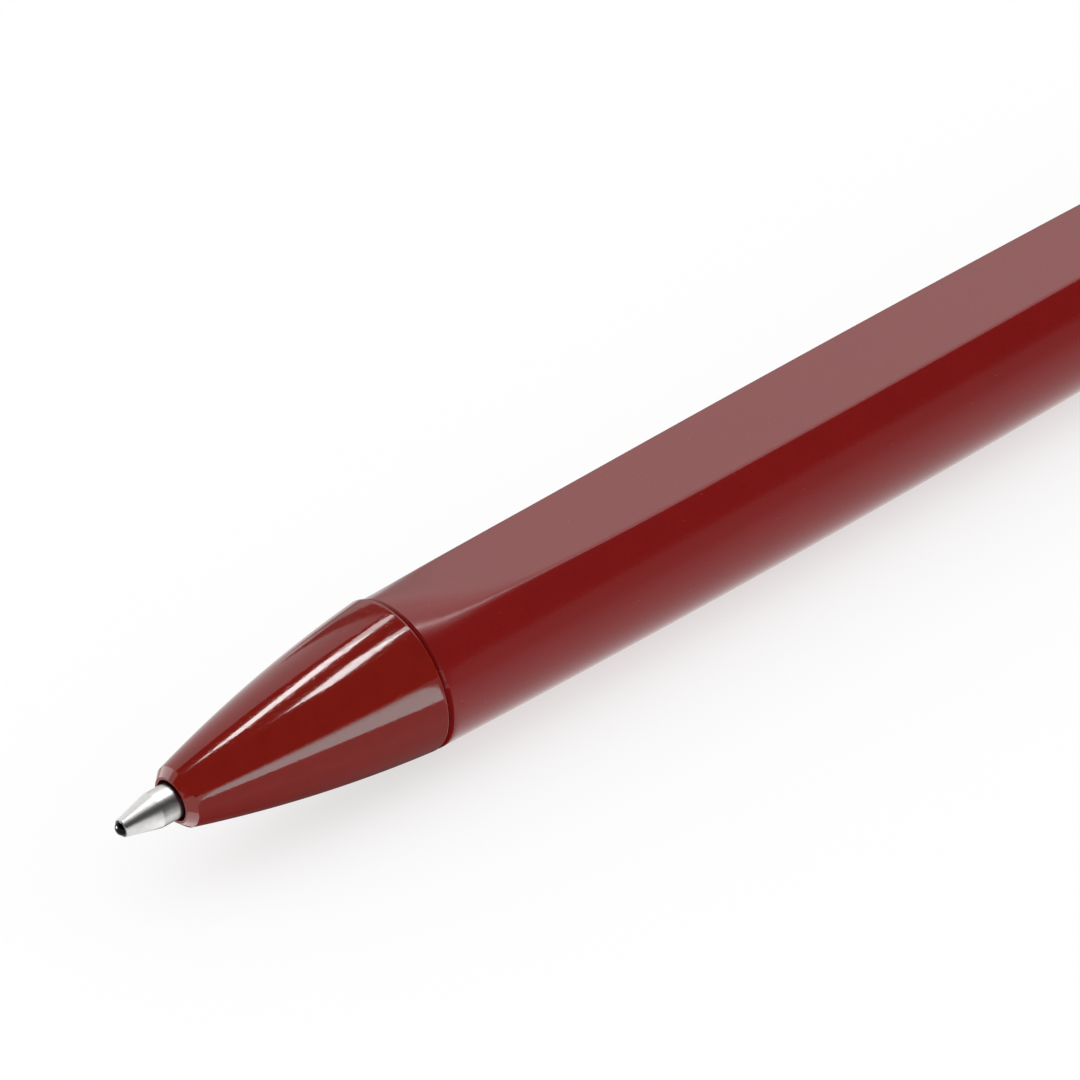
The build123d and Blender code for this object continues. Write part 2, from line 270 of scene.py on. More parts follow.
def flat_radius(place, angle):
    """Distance from the axis to the flat, or to the shallow crown that it fades into."""
    least_cos, least_crown, out_of_reach = 0.1, 1e-3, 10 * barrel_max_rad
    if math.cos(angle) < least_cos:
        return out_of_reach
    round_rad, chord, fade = barrel_radius(place), flat_chord(place), flat_fade(place)
    crown = (round_rad - chord) * fade
    if crown < least_crown:
        return chord / math.cos(angle)
    bow = (round_rad ** 2 - chord ** 2 + crown ** 2) / (2 * crown)
    centre = chord + crown + flat_lift * fade - bow
    under_root = bow ** 2 - (centre * math.sin(angle)) ** 2
    return centre * math.cos(angle) + math.sqrt(under_root)


def barrel_surface(place, angle):
    """Outer radius of the barrel, with the flat's edges rounded, most near the barrel's ends."""
    round_rad, flat_rad = barrel_radius(place), flat_radius(place, angle)
    from_end = min(1.0, min(place, barrel_len - place) / flat_fade_len)
    sharpening = flat_edge_sharpness - flat_edge_sharpness_at_end
    power = flat_edge_sharpness_at_end + sharpening * from_end ** 2
    return round_rad * (1 + (round_rad / flat_rad) ** power) ** (-1 / power)


def barrel_angles(place):
    """Angles round the barrel, close together at the flat's two edges."""
    edge = math.acos(min(1.0, flat_chord(place) / barrel_radius(place)))
    near = math.radians(6)
    over_count, edge_count, under_count = 25, 17, 121
    far_edge = 2 * math.pi - edge
    over = np.linspace(-edge + near, edge - near, over_count)
    right = np.linspace(edge - near, edge + near, edge_count)[1:]
    under = np.linspace(edge + near, far_edge - near, under_count)[1:]
    left = np.linspace(far_edge - near, far_edge + near, edge_count)[1:-1]
    return np.concatenate([over, right, under, left])


def on_rest_flat(point):
    """Lifts a point to the floor's height, where the barrel's underside is flat."""
    point.z = max(point.z, 0.0)
    return point


def make_barrel():
    """The swollen matte body, with its long flat, rounded ends and stepped bore."""
    rings = []
    front_rings, middle_rings, rear_rings = 80, 45, 70
    round_steps, smooth_below = 6, 25
    quarter = [math.pi / 2 * k / round_steps for k in range(round_steps + 1)]

    def outer_ring(place, shape_place, inset):
        angles = barrel_angles(shape_place)
        rings.append([
            on_rest_flat(point_at(place, barrel_surface(shape_place, angle) - inset, angle))
            for angle in angles
        ])

    def bore_ring(place, radius, shape_place):
        rings.append([point_at(place, radius, angle) for angle in barrel_angles(shape_place)])

    start, end = barrel_front_bevel, barrel_len - barrel_rear_round
    outer_ring(0.0, start, start)
    outer_ring(start, start, 0.0)
    places = np.concatenate([
        np.linspace(start, flat_front_ease, front_rings)[1:],
        np.linspace(flat_front_ease, barrel_len - flat_rear_ease, middle_rings)[1:],
        np.linspace(barrel_len - flat_rear_ease, end, rear_rings)[1:],
    ])
    for place in places:
        outer_ring(place, place, 0.0)
    for turn in reversed(quarter[:-1]):
        inset = barrel_rear_round * (1 - math.sin(turn))
        outer_ring(end + barrel_rear_round * math.cos(turn), end, inset)
    bore_ring(barrel_len, barrel_bore_rad, end)
    bore_ring(socket_len, barrel_bore_rad, socket_len)
    bore_ring(socket_len, socket_rad, socket_len)
    bore_ring(0.0, socket_rad, start)
    return new_piece("barrel_body", skin_rings(rings, closed=True), smooth_below)


def make_nose():
    """The glossy ogive shell with its spigot and stepped bore."""
    seam_corner, bevel_corner = (0.0, seam_rad), (-nose_len + nose_bevel_len, nose_front_rad)
    straight_end, ogive_steps, spigot_round = 0.3, 70, 0.15
    places = np.linspace(-straight_end, bevel_corner[0] + straight_end, ogive_steps)
    ogive = [(p, arc_radius(p, seam_corner, bevel_corner, nose_bulge), 0) for p in places]
    corners = [
        (spigot_len, spring_room_rad, 0),
        (spigot_len, spigot_rad, spigot_round),
        (0.0, spigot_rad, 0),
        (0.0, seam_rad, nose_rear_round),
        *ogive,
        (*bevel_corner, nose_front_round),
        (-nose_len, nose_front_rad - nose_bevel_drop, nose_front_round),
        (-nose_len, nose_bore_rad, nose_mouth_round),
        (-spring_seat, nose_bore_rad, 0),
        (-spring_seat, spring_room_rad, 0),
    ]
    return lathe("nose_shell", rounded(corners), FINE_SEGMENTS)


def make_tip():
    """The turned metal point: crimped lip, cone, straight part, shank and ink duct."""
    lip_round, crimp_round, shoulder_round, rear_round, shank_round = 0.02, 0.05, 0.3, 0.06, 0.08
    seat_steps = 8
    seat_front = math.acos((crimp_place - ball_place) / seat_rad)
    seat_rear = math.asin(duct_rad / seat_rad)
    seat = []
    for k in range(seat_steps + 1):
        turn = seat_rear + (seat_front - seat_rear) * k / seat_steps
        seat.append((ball_place + seat_rad * math.cos(turn), seat_rad * math.sin(turn), 0))
    corners = [
        *seat,
        (crimp_place, crimp_face_rad, lip_round),
        (crimp_place + (crimp_rad - crimp_face_rad), crimp_rad, crimp_round),
        (tip_shoulder, tip_rad, shoulder_round),
        (tip_rear, tip_rad, rear_round),
        (tip_rear, shank_rad, 0),
        (tip_rear + shank_len, shank_rad, shank_round),
        (tip_rear + shank_len, duct_rad, 0),
    ]
    return lathe("writing_point", rounded(corners), SMALL_SEGMENTS)


def make_ball():
    """The writing ball in its seat."""
    bm = bmesh.new()
    bmesh.ops.create_uvsphere(bm, u_segments=48, v_segments=32, radius=ball_rad * MM)
    centre = Vector(((seam_x + ball_place) * MM, 0.0, axis_z * MM))
    upright = Matrix.Rotation(math.pi / 2, 4, "Y")
    bmesh.ops.transform(bm, matrix=Matrix.Translation(centre) @ upright, verts=bm.verts)
    return new_piece("rolling_ball", bm)


def make_cap():
    """The glossy ring behind the barrel, with the slot that holds the clip's foot."""
    straight_end, side_steps, front_round = 1.2, 16, 0.1
    places = np.linspace(barrel_len + straight_end, cap_rear - straight_end, side_steps)
    side = [(p, barrel_radius(p), 0) for p in places]
    corners = [
        (barrel_len, cap_socket_rad, 0),
        (barrel_len, barrel_radius(barrel_len), front_round),
        *side,
        (cap_rear, cap_rear_rad, cap_round),
        (cap_rear, cap_bore_rad, cap_mouth_round),
        (barrel_len + cap_socket_len, cap_bore_rad, 0),
        (barrel_len + cap_socket_len, cap_socket_rad, 0),
    ]
    cap = lathe("clip_cap", rounded(corners, steps=8), FINE_SEGMENTS)
    cutter_bm = bmesh.new()
    bmesh.ops.create_cube(cutter_bm, size=1.0)
    low = Vector((clip_high.x - foot_len - foot_clearance, -clip_width / 2 - foot_clearance,
                  foot_bottom - foot_clearance))
    high = Vector((clip_high.x + foot_clearance, clip_width / 2 + foot_clearance, clip_high.z))
    size = high - low
    place = Matrix.Translation((low + high) / 2 * MM) @ Matrix.Diagonal((*(size * MM), 1.0))
    bmesh.ops.transform(cutter_bm, matrix=place, verts=cutter_bm.verts)
    cutter = new_piece("slot_cutter", cutter_bm)
    cut = cap.modifiers.new("slot", "BOOLEAN")
    cut.operation = "DIFFERENCE"
    cut.object = cutter
    cut.solver = "EXACT"
    bpy.context.view_layer.update()
    shaped = cap.evaluated_get(bpy.context.evaluated_depsgraph_get())
    bm = bmesh.new()
    bm.from_mesh(shaped.to_mesh())
    shaped.to_mesh_clear()
    bpy.data.objects.remove(cap)
    bpy.data.objects.remove(cutter)
    return new_piece("clip_cap", bm)


def make_clip():
    """A bar over the barrel's flat, with a bump near its free end and a foot in the cap."""
    top, under = clip_high.z, clip_high.z - clip_thick
    front, rear = clip_low.x, clip_high.x
    corner_round, foot_round, bump_steps, level = 0.5, 0.4, 14, 1e-9
    half = bump_len / 2
    bow = (half ** 2 + bump_drop ** 2) / (2 * bump_drop)
    bump = []
    for k in range(bump_steps + 1):
        along = half - bump_len * k / bump_steps
        drop = math.sqrt(bow ** 2 - along ** 2) - (bow - bump_drop)
        bump.append((front + half + along, under - drop, 0))
    corners = [
        (front + clip_nose_chamfer, top, corner_round),
        (front, top - clip_nose_chamfer, corner_round),
        *reversed(bump),
        (rear - foot_len, under, foot_round),
        (rear - foot_len, foot_bottom, 0),
        (rear, foot_bottom, 0),
        (rear, top - clip_nose_chamfer, corner_round),
        (rear - clip_nose_chamfer, top, corner_round),
    ]
    outline = rounded(corners, steps=5)
    bm = bmesh.new()
    side = [bm.verts.new((x * MM, -clip_width / 2 * MM, z * MM)) for x, z in outline]
    face = bm.faces.new(side)
    made = bmesh.ops.extrude_face_region(bm, geom=[face])
    moved = [v for v in made["geom"] if isinstance(v, bmesh.types.BMVert)]
    bmesh.ops.translate(bm, vec=(0.0, clip_width * MM, 0.0), verts=moved)
    bmesh.ops.recalc_face_normals(bm, faces=bm.faces)
    rims = [e for e in bm.edges if abs(e.verts[0].co.y - e.verts[1].co.y) < level]
    bmesh.ops.bevel(bm, geom=rims, offset=clip_edge_round * MM, segments=4, profile=0.5,
                    affect="EDGES", clamp_overlap=True)
    return new_piece("pocket_clip", bm)


def make_button():
    """The domed push button, hollow where the thruster's stem is pressed in."""
    front, rear = button_low.x - seam_x, button_high.x - seam_x
    dome_sag, socket_round, front_round = 0.12, 0.1, 0.12
    corners = [
        (front, button_socket_rad, socket_round),
        (front, button_rad, front_round),
        (rear - dome_sag, button_rad, button_round),
        (rear, 0.0, 0),
        (front + button_socket_len, 0.0, 0),
        (front + button_socket_len, button_socket_rad, 0),
    ]
    return lathe("click_button", rounded(corners, steps=10), SMALL_SEGMENTS)


def make_spring():
    """The wound return spring: round wire on a helix."""
    steps_per_turn, around = 40, 12
    start, end = spring_low.x - seam_x + wire_rad, spring_high.x - seam_x - wire_rad
    count = spring_turns * steps_per_turn
    rise = (end - start) / (2 * math.pi * spring_turns)
    rings = []
    for k in range(count + 1):
        turn = 2 * math.pi * k / steps_per_turn
        centre = Vector((seam_x + start + rise * turn, spring_rad * math.cos(turn),
                         axis_z + spring_rad * math.sin(turn)))
        outwards = Vector((0.0, math.cos(turn), math.sin(turn)))
        along = Vector((rise, -spring_rad * math.sin(turn), spring_rad * math.cos(turn))).normalized()
        side = along.cross(outwards)
        rings.append([
            (centre + (outwards * math.cos(a) + side * math.sin(a)) * wire_rad) * MM
            for a in (2 * math.pi * i / around for i in range(around))
        ])
    bm = skin_rings(rings, closed=False)
    bm.verts.ensure_lookup_table()
    bm.faces.new(bm.verts[:around])
    bm.faces.new(bm.verts[-around:])
    return new_piece("wound_spring", bm)


# Materials

def shader(name):
    """A new node material: its node tree and its Principled shader."""
    material = bpy.data.materials.new(name)
    material.use_nodes = True
    tree = material.node_tree
    return material, tree, tree.nodes["Principled BSDF"]


def set_input(tree, socket, value):
    """Sets a socket to a value, or links it to another socket."""
    if isinstance(value, bpy.types.NodeSocket):
        tree.links.new(value, socket)
    else:
        socket.default_value = value


def add_node(tree, kind, settings=None, **inputs):
    """A node with settings on itself and values or links on its inputs, by input name."""
    node = tree.nodes.new(kind)
    for key, value in (settings or {}).items():
        setattr(node, key, value)
    for key, value in inputs.items():
        set_input(tree, node.inputs[key.replace("_", " ")], value)
    return node


def object_coords(tree):
    """Coordinates on the object, in metres."""
    return add_node(tree, "ShaderNodeTexCoord").outputs["Object"]


def stretched_coords(tree, scale):
    """Coordinates on the object, scaled by a different amount along each axis."""
    return add_node(tree, "ShaderNodeMapping", Vector=object_coords(tree), Scale=scale).outputs["Vector"]


def noise(tree, scale, detail=2.0, roughness=0.5, coords=None):
    """Noise on the object's own coordinates, per metre."""
    if coords is None:
        coords = object_coords(tree)
    node = add_node(tree, "ShaderNodeTexNoise", Vector=coords, Scale=scale, Detail=detail,
                    Roughness=roughness)
    return node.outputs["Fac"]


def remap(tree, value, source, target=(0.0, 1.0)):
    """A value moved from one range to another and held inside it."""
    node = add_node(tree, "ShaderNodeMapRange", {"clamp": True}, Value=value)
    for key, limit in zip(("From Min", "From Max", "To Min", "To Max"), (*source, *target)):
        node.inputs[key].default_value = limit
    return node.outputs["Result"]


def mix_colour(tree, share, first, second):
    """A colour between two, by a share."""
    factor_index, first_index, second_index, colour_output = 0, 6, 7, 2
    node = add_node(tree, "ShaderNodeMix", {"data_type": "RGBA"})
    set_input(tree, node.inputs[factor_index], share)
    set_input(tree, node.inputs[first_index], first)
    set_input(tree, node.inputs[second_index], second)
    return node.outputs[colour_output]


def bump(tree, height, strength, distance):
    """A normal from a height."""
    node = add_node(tree, "ShaderNodeBump", Height=height, Strength=strength, Distance=distance)
    return node.outputs["Normal"]


def shade(colour, factor):
    """A colour made lighter or darker."""
    return (*(channel * factor for channel in colour[:3]), 1.0)


def vary(tree, share, colour, darker, lighter):
    """A colour that goes from a darker to a lighter shade of itself, by a share."""
    return mix_colour(tree, share, shade(colour, darker), shade(colour, lighter))


NOSE_RED = (0.184, 0.0082, 0.0050, 1.0)
BARREL_RED = (0.205, 0.0026, 0.0024, 1.0)
DUST = (0.42, 0.20, 0.18, 1.0)
NICKEL = (0.78, 0.77, 0.76, 1.0)
STEEL = (0.48, 0.48, 0.49, 1.0)
INKED = (0.05, 0.05, 0.055, 1.0)
# Painted shade: the dark grey on the metal point where it goes into the nose's mouth.
PAINTED_SHADE_GREY = (0.24, 0.24, 0.24, 1.0)
BALL_GREY = (0.014, 0.014, 0.016, 1.0)
TUBE_WHITE = (0.82, 0.83, 0.84, 1.0)
REFILL_WHITE = (0.62, 0.62, 0.60, 1.0)
MECHANISM_WHITE = (0.70, 0.70, 0.68, 1.0)
INK_BLUE = (0.006, 0.008, 0.035, 1.0)
NOISE_RANGE = (0.3, 0.7)


def gloss_red():
    """Polished red plastic with a faint flow mottle and hairline scratches along the pen."""
    mottle_scale, hair_scale, hair_range = 900.0, (900.0, 14000.0, 14000.0), (0.60, 0.74)
    darker, lighter, polish = 0.95, 1.05, (0.07, 0.18)
    scratch_strength, scratch_depth = 0.05, 0.00002
    material, tree, body = shader("gloss_red")
    mottle = remap(tree, noise(tree, mottle_scale, detail=3.0), NOISE_RANGE)
    hairs = noise(tree, 1.0, coords=stretched_coords(tree, hair_scale))
    scratch = remap(tree, hairs, hair_range)
    roughness = remap(tree, scratch, (0.0, 1.0), polish)
    tree.links.new(vary(tree, mottle, NOSE_RED, darker, lighter), body.inputs["Base Color"])
    tree.links.new(roughness, body.inputs["Roughness"])
    tree.links.new(bump(tree, scratch, scratch_strength, scratch_depth), body.inputs["Normal"])
    body.inputs["IOR"].default_value = 1.5
    return material


def soft_touch_red():
    """Matte red plastic with a fine spark grain and a few pale dust specks."""
    grain_scale, broad_scale, speck_scale = 9000.0, 350.0, 1100.0
    grain_dark, broad_dark, broad_light, grain_range = 0.93, 0.96, 1.05, (0.35, 0.65)
    speck_size, speck_strength = (0.02, 0.06), (0.3, 0.0)
    matte, grain_strength, grain_depth = (0.17, 0.24), 0.12, 0.00003
    material, tree, body = shader("soft_touch_red")
    grain = noise(tree, grain_scale, detail=3.0, roughness=0.6)
    broad = remap(tree, noise(tree, broad_scale), NOISE_RANGE)
    tone = vary(tree, broad, BARREL_RED, broad_dark, broad_light)
    toned = mix_colour(tree, remap(tree, grain, grain_range), shade(BARREL_RED, grain_dark), tone)
    cells = add_node(tree, "ShaderNodeTexVoronoi", {"feature": "F1"}, Scale=speck_scale,
                     Vector=object_coords(tree))
    speck = remap(tree, cells.outputs["Distance"], speck_size, speck_strength)
    tree.links.new(mix_colour(tree, speck, toned, DUST), body.inputs["Base Color"])
    tree.links.new(remap(tree, grain, NOISE_RANGE, matte), body.inputs["Roughness"])
    tree.links.new(bump(tree, grain, grain_strength, grain_depth), body.inputs["Normal"])
    body.inputs["IOR"].default_value = 1.47
    return material


def turned_metal(name, colour, ring_scale, roughness, ink_and_shade_ends=None):
    """Machined metal with fine turning rings along the pen's axis and slight tarnish.

    The ends are the places in front of which ink has darkened the metal, and behind which shade is painted
    on it where it goes into the nose's mouth."""
    ring_stretch, tarnish_scale, tarnish_range, tarnish_dark = 60.0, 1800.0, (0.35, 0.7), 0.86
    smoother, rougher, ring_strength, ring_depth = 0.94, 1.08, 0.006, 0.00001
    ink_fade = 0.07
    material, tree, body = shader(name)
    ring_coords = stretched_coords(tree, (ring_scale, ring_stretch, ring_stretch))
    rings = noise(tree, 1.0, detail=3.0, roughness=0.6, coords=ring_coords)
    tarnish = remap(tree, noise(tree, tarnish_scale, detail=3.0), tarnish_range)
    tone = mix_colour(tree, tarnish, colour, shade(colour, tarnish_dark))
    if ink_and_shade_ends:
        x_place = add_node(tree, "ShaderNodeSeparateXYZ", Vector=object_coords(tree)).outputs["X"]
        front_edge, rear_edge = ((seam_x + end) * MM for end in ink_and_shade_ends)
        inked = remap(tree, x_place, (front_edge, front_edge + ink_fade * MM), (1.0, 0.0))
        tone = mix_colour(tree, inked, tone, INKED)
        # Painted shade: behind the rear end the metal turns dark grey, where the point goes into the
        # nose's mouth.
        painted_shade = remap(tree, x_place, (rear_edge, rear_edge + ink_fade * MM))
        tone = mix_colour(tree, painted_shade, tone, PAINTED_SHADE_GREY)
    worn = remap(tree, rings, NOISE_RANGE, (roughness * smoother, roughness * rougher))
    tree.links.new(tone, body.inputs["Base Color"])
    tree.links.new(worn, body.inputs["Roughness"])
    tree.links.new(bump(tree, rings, ring_strength, ring_depth), body.inputs["Normal"])
    body.inputs["Metallic"].default_value = 1.0
    return material


def moulded_plastic(name, colour, roughness):
    """Plain moulded plastic with a faint grain and tone."""
    grain_scale, broad_scale, darker, lighter = 5000.0, 400.0, 0.93, 1.05
    smoother, rougher, grain_strength, grain_depth = 0.85, 1.15, 0.08, 0.00002
    material, tree, body = shader(name)
    grain = noise(tree, grain_scale, detail=3.0)
    broad = remap(tree, noise(tree, broad_scale), NOISE_RANGE)
    grained = remap(tree, grain, NOISE_RANGE, (roughness * smoother, roughness * rougher))
    tree.links.new(vary(tree, broad, colour, darker, lighter), body.inputs["Base Color"])
    tree.links.new(grained, body.inputs["Roughness"])
    tree.links.new(bump(tree, grain, grain_strength, grain_depth), body.inputs["Normal"])
    return material


def clear_tube():
    """Milky clear plastic of the refill tube, which lets the ink show through."""
    material = moulded_plastic("clear_tube", TUBE_WHITE, roughness=0.25)
    body = material.node_tree.nodes["Principled BSDF"]
    body.inputs["Transmission Weight"].default_value = 0.7
    body.inputs["IOR"].default_value = 1.45
    return material


# Pieces on their bodies

def place_piece(piece, node, body, material):
    """A visual piece that stands for a CAD node."""
    piece.data.materials.append(material)
    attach(piece, body)
    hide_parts(node)
    return piece


def dress_node(node, material):
    """A CAD node that keeps its own mesh, with a new material."""
    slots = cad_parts[node].data.materials
    slots.clear()
    slots.append(material)


red_gloss = gloss_red()
spring_wire = turned_metal("spring_wire", STEEL, ring_scale=4000.0, roughness=0.25)
barrel_shell = place_piece(make_barrel(), "barrel", "pen_body", soft_touch_red())
nose_shell = place_piece(make_nose(), "nose_cone", "pen_body", red_gloss)
place_piece(make_cap(), "rear_cap", "pen_body", red_gloss)
place_piece(make_clip(), "clip", "pen_body", red_gloss)
place_piece(make_button(), "push_button", "button", red_gloss)
# In front of its lip the point is darkened by ink; from 0.2 mm outside the nose's mouth it carries painted
# shade.
lip_margin, mouth_margin = 0.01, 0.2
nickel = turned_metal("nickel_silver", NICKEL, ring_scale=9000.0, roughness=0.33,
                      ink_and_shade_ends=(crimp_place - lip_margin, -nose_len - mouth_margin))
writing_point = place_piece(make_tip(), "point_tip", "refill", nickel)
ball_steel = turned_metal("ball_steel", BALL_GREY, ring_scale=3000.0, roughness=0.06)
point_ball = place_piece(make_ball(), "writing_ball", "ball", ball_steel)

spring = make_spring()
spring.data.materials.append(spring_wire)
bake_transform(spring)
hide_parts("return_spring")

refill_plastic = moulded_plastic("refill_plastic", REFILL_WHITE, roughness=0.4)
mechanism_plastic = moulded_plastic("mechanism_plastic", MECHANISM_WHITE, roughness=0.45)
for hidden_node in ("tip_holder", "refill_end_plug"):
    dress_node(hidden_node, refill_plastic)
for hidden_node in ("ratchet_cam", "thruster", "guide_sleeve"):
    dress_node(hidden_node, mechanism_plastic)
dress_node("refill_tube", clear_tube())
dress_node("ink_column", moulded_plastic("ink", INK_BLUE, roughness=0.3))


# Studio

WHITE = (1.0, 1.0, 1.0, 1.0)
COOL_WHITE = (0.62, 1.0, 1.0, 1.0)

# Places and sizes in the studio are in metres.
axis_height = axis_z * MM
seam = seam_x * MM
nose_front = (seam_x - nose_len) * MM
nose_middle = Vector(((seam_x - nose_len / 2) * MM, 0.0, axis_height))
nose_mouth = Vector((nose_front, 0.0, axis_height))
near_y, slant_y, far_y = -0.013, -0.020, -0.20
card_z = 0.0003
seam_step = 0.001


def make_world():
    """An even white surround: white to the eye and in reflections, a plain level on the object."""
    world = bpy.data.worlds.new("studio")
    world.use_nodes = True
    background = world.node_tree.nodes["Background"]
    background.inputs["Color"].default_value = WHITE
    background.inputs["Strength"].default_value = 1.0
    bpy.context.scene.world = world


def bare_material(name):
    """A new node material with no nodes yet, and its node tree."""
    material = bpy.data.materials.new(name)
    material.use_nodes = True
    material.node_tree.nodes.clear()
    return material, material.node_tree


def make_floor():
    """A large pale floor that keeps a soft shadow of the pen."""
    half = 6.0
    shadow_share = 0.35
    outline = ((-half, -half), (half, -half), (half, half), (-half, half))
    bm = bmesh.new()
    bm.faces.new([bm.verts.new((x, y, 0.0)) for x, y in outline])
    floor = new_piece("floor", bm)
    material, tree = bare_material("pale_floor")
    matte = add_node(tree, "ShaderNodeBsdfDiffuse", Color=shade(WHITE, shadow_share))
    glow = add_node(tree, "ShaderNodeEmission", Color=WHITE, Strength=1 - shadow_share)
    both = tree.nodes.new("ShaderNodeAddShader")
    out = tree.nodes.new("ShaderNodeOutputMaterial")
    tree.links.new(matte.outputs[0], both.inputs[0])
    tree.links.new(glow.outputs[0], both.inputs[1])
    tree.links.new(both.outputs[0], out.inputs["Surface"])
    floor.data.materials.append(material)


def add_glow(card, colour):
    """Makes a card glow and hides it from all but glossy rays. Gives its node tree and glow."""
    material, tree = bare_material(card.name)
    glow = add_node(tree, "ShaderNodeEmission", Color=colour)
    out = tree.nodes.new("ShaderNodeOutputMaterial")
    tree.links.new(glow.outputs[0], out.inputs["Surface"])
    card.data.materials.append(material)
    card.visible_camera = False
    card.visible_diffuse = False
    card.visible_shadow = False
    card.visible_transmission = False
    return tree, glow


def make_flag(name, elevations, radiance, reach):
    """A curved card about the pen's axis that only shows in reflections.

    Elevations are measured from the camera's side of the floor, over the top."""
    steps, radius = 24, 0.7
    low_elevation, high_elevation = elevations
    bm = bmesh.new()
    rows = []
    for k in range(steps + 1):
        turn = math.radians(low_elevation + (high_elevation - low_elevation) * k / steps)
        y, z = -radius * math.cos(turn), axis_height + radius * math.sin(turn)
        rows.append([bm.verts.new((x, y, z)) for x in reach])
    for first, second in zip(rows, rows[1:]):
        bm.faces.new((first[0], first[1], second[1], second[0]))
    _, glow = add_glow(new_piece(name, bm), WHITE)
    glow.inputs["Strength"].default_value = radiance


def make_card(name, corners, colour, fade):
    """A glowing card that only shows in reflections. A fade is (y, radiance) at its two ends."""
    (y_from, glow_from), (y_to, glow_to) = fade
    bm = bmesh.new()
    bm.faces.new([bm.verts.new(corner) for corner in corners])
    card = new_piece(name, bm)
    tree, glow = add_glow(card, colour)
    y_place = add_node(tree, "ShaderNodeSeparateXYZ", Vector=object_coords(tree)).outputs["Y"]
    radiance = remap(tree, y_place, (y_from, y_to), (glow_from, glow_to))
    tree.links.new(radiance, glow.inputs["Strength"])
    return card


def direction(elevation, axial):
    """A unit direction from the pen: elevation over the top, and a share along the pen."""
    turn = math.radians(elevation)
    across = math.sqrt(1 - axial ** 2)
    return Vector((axial, -across * math.cos(turn), across * math.sin(turn)))


def strip_lamp(name, start, end, width, radiance, aim):
    """A strip lamp from start to end that faces a point and shows only in gloss."""
    along = end - start
    middle = (start + end) / 2
    towards = (aim - middle).normalized()
    side = along.normalized()
    across = towards.cross(side).normalized()
    towards = side.cross(across)
    lamp = bpy.data.lights.new(name, "AREA")
    lamp.shape = "RECTANGLE"
    lamp.size = along.length
    lamp.size_y = width
    lamp.energy = radiance * math.pi * along.length * width
    holder = bpy.data.objects.new(name, lamp)
    rotation = Matrix((side, -across, -towards)).transposed()
    holder.matrix_world = Matrix.Translation(middle) @ rotation.to_4x4()
    holder.visible_camera = False
    holder.visible_diffuse = False
    bpy.context.scene.collection.objects.link(holder)
    return holder


def floor_lamp(name, x_start, x_end, y, z, width, radiance):
    """A strip lamp along the pen, just above the floor, that faces up."""
    above = Vector(((x_start + x_end) / 2, y, axis_height))
    return strip_lamp(name, Vector((x_start, y, z)), Vector((x_end, y, z)), width, radiance, above)


def light_only(source, *pieces):
    """Lets a lamp or card shine on some pieces alone."""
    lit = bpy.data.collections.new(f"lit_by_{source.name}")
    for piece in pieces:
        lit.objects.link(piece)
    source.light_linking.receiver_collection = lit


def cards_meet(y):
    """Place along the pen where the nose's cards end and the barrel's begin, at a place across it."""
    front_slope, back_slope = 0.25, 0.6
    return seam - y * front_slope if y < 0 else seam + y * back_slope


def make_nose_strips():
    """Two overhead strips for the streaks on the nose, each with a duller end past the seam."""
    distance, width, strip_glow, end_glow = 0.5, 0.048, 17.5, 8.5
    upper = ((86.0, 0.02), (101.0, 0.265), (106.0, 0.35))
    lower = ((65.0, 0.135), (76.5, 0.27), (77.0, 0.47))
    for name, places in (("upper_strip", upper), ("lower_strip", lower)):
        front, past_seam, end = (nose_middle + direction(*place) * distance for place in places)
        strip_lamp(name, front, past_seam, width, strip_glow, nose_middle)
        strip_lamp(f"{name}_end", past_seam, end, width, end_glow, nose_middle)


def make_nose_cards(nose, tip):
    """A low bright panel in front of the nose and a dull card under it."""
    panel_near_z, panel_far_z, panel_flare, card_back_y = 0.0006, 0.0020, 0.004, 0.008
    panel_fade = ((-0.16, 0.3), (-0.04, 4.5))
    card_fade = ((-0.0066, 0.42), (-0.0015, 0.09))
    panel = make_card("low_panel", (
        (nose_front, slant_y, panel_near_z),
        (cards_meet(near_y), near_y, panel_near_z),
        (cards_meet(far_y), far_y, panel_far_z),
        (nose_front - panel_flare, far_y, panel_far_z),
    ), COOL_WHITE, panel_fade)
    light_only(panel, nose)
    under_nose = make_card("nose_card", (
        (nose_front, slant_y, card_z),
        (cards_meet(near_y), near_y, card_z),
        (seam + seam_step, 0.0, card_z),
        (cards_meet(card_back_y), card_back_y, card_z),
        (nose_front, card_back_y, card_z),
    ), WHITE, card_fade)
    light_only(under_nose, nose, tip)


def make_point_lamps(nose, tip, ball):
    """Lamps for the underside of the metal point, the glint on the ball and the mouth's bevel."""
    tip_start, tip_end = nose_front - 0.001, nose_front + 0.005
    under_tip = floor_lamp("under_tip", tip_start, tip_end, y=-0.0025, z=0.0006, width=0.006, radiance=0.6)
    light_only(under_tip, tip)

    glint_towards, glint_dist = Vector((-0.703, 0.689, 0.164)), 0.12
    glint_half, glint_width, glint_glow = Vector((0.0, 0.0, 0.018)), 0.05, 75.0
    glint_middle = nose_mouth + glint_towards * glint_dist
    glint_low, glint_high = glint_middle - glint_half, glint_middle + glint_half
    ball_glint = strip_lamp("ball_glint", glint_low, glint_high, glint_width, glint_glow, nose_mouth)
    light_only(ball_glint, ball)

    mouth_dist, mouth_width, mouth_glow = 0.3, 0.16, 2.2
    mouth_high = nose_mouth + Vector((-0.57, 0.56, 0.60)) * mouth_dist
    mouth_low = nose_mouth + Vector((-0.02, 0.99, 0.03)) * mouth_dist
    over_mouth = strip_lamp("over_mouth", mouth_high, mouth_low, mouth_width, mouth_glow, nose_mouth)
    light_only(over_mouth, nose)

    below_start, below_end = nose_front - 0.0045, nose_front + 0.0009
    below_mouth = floor_lamp("below_mouth", below_start, below_end, y=0.0004, z=0.0005, width=0.008,
                             radiance=1.7)
    light_only(below_mouth, nose)


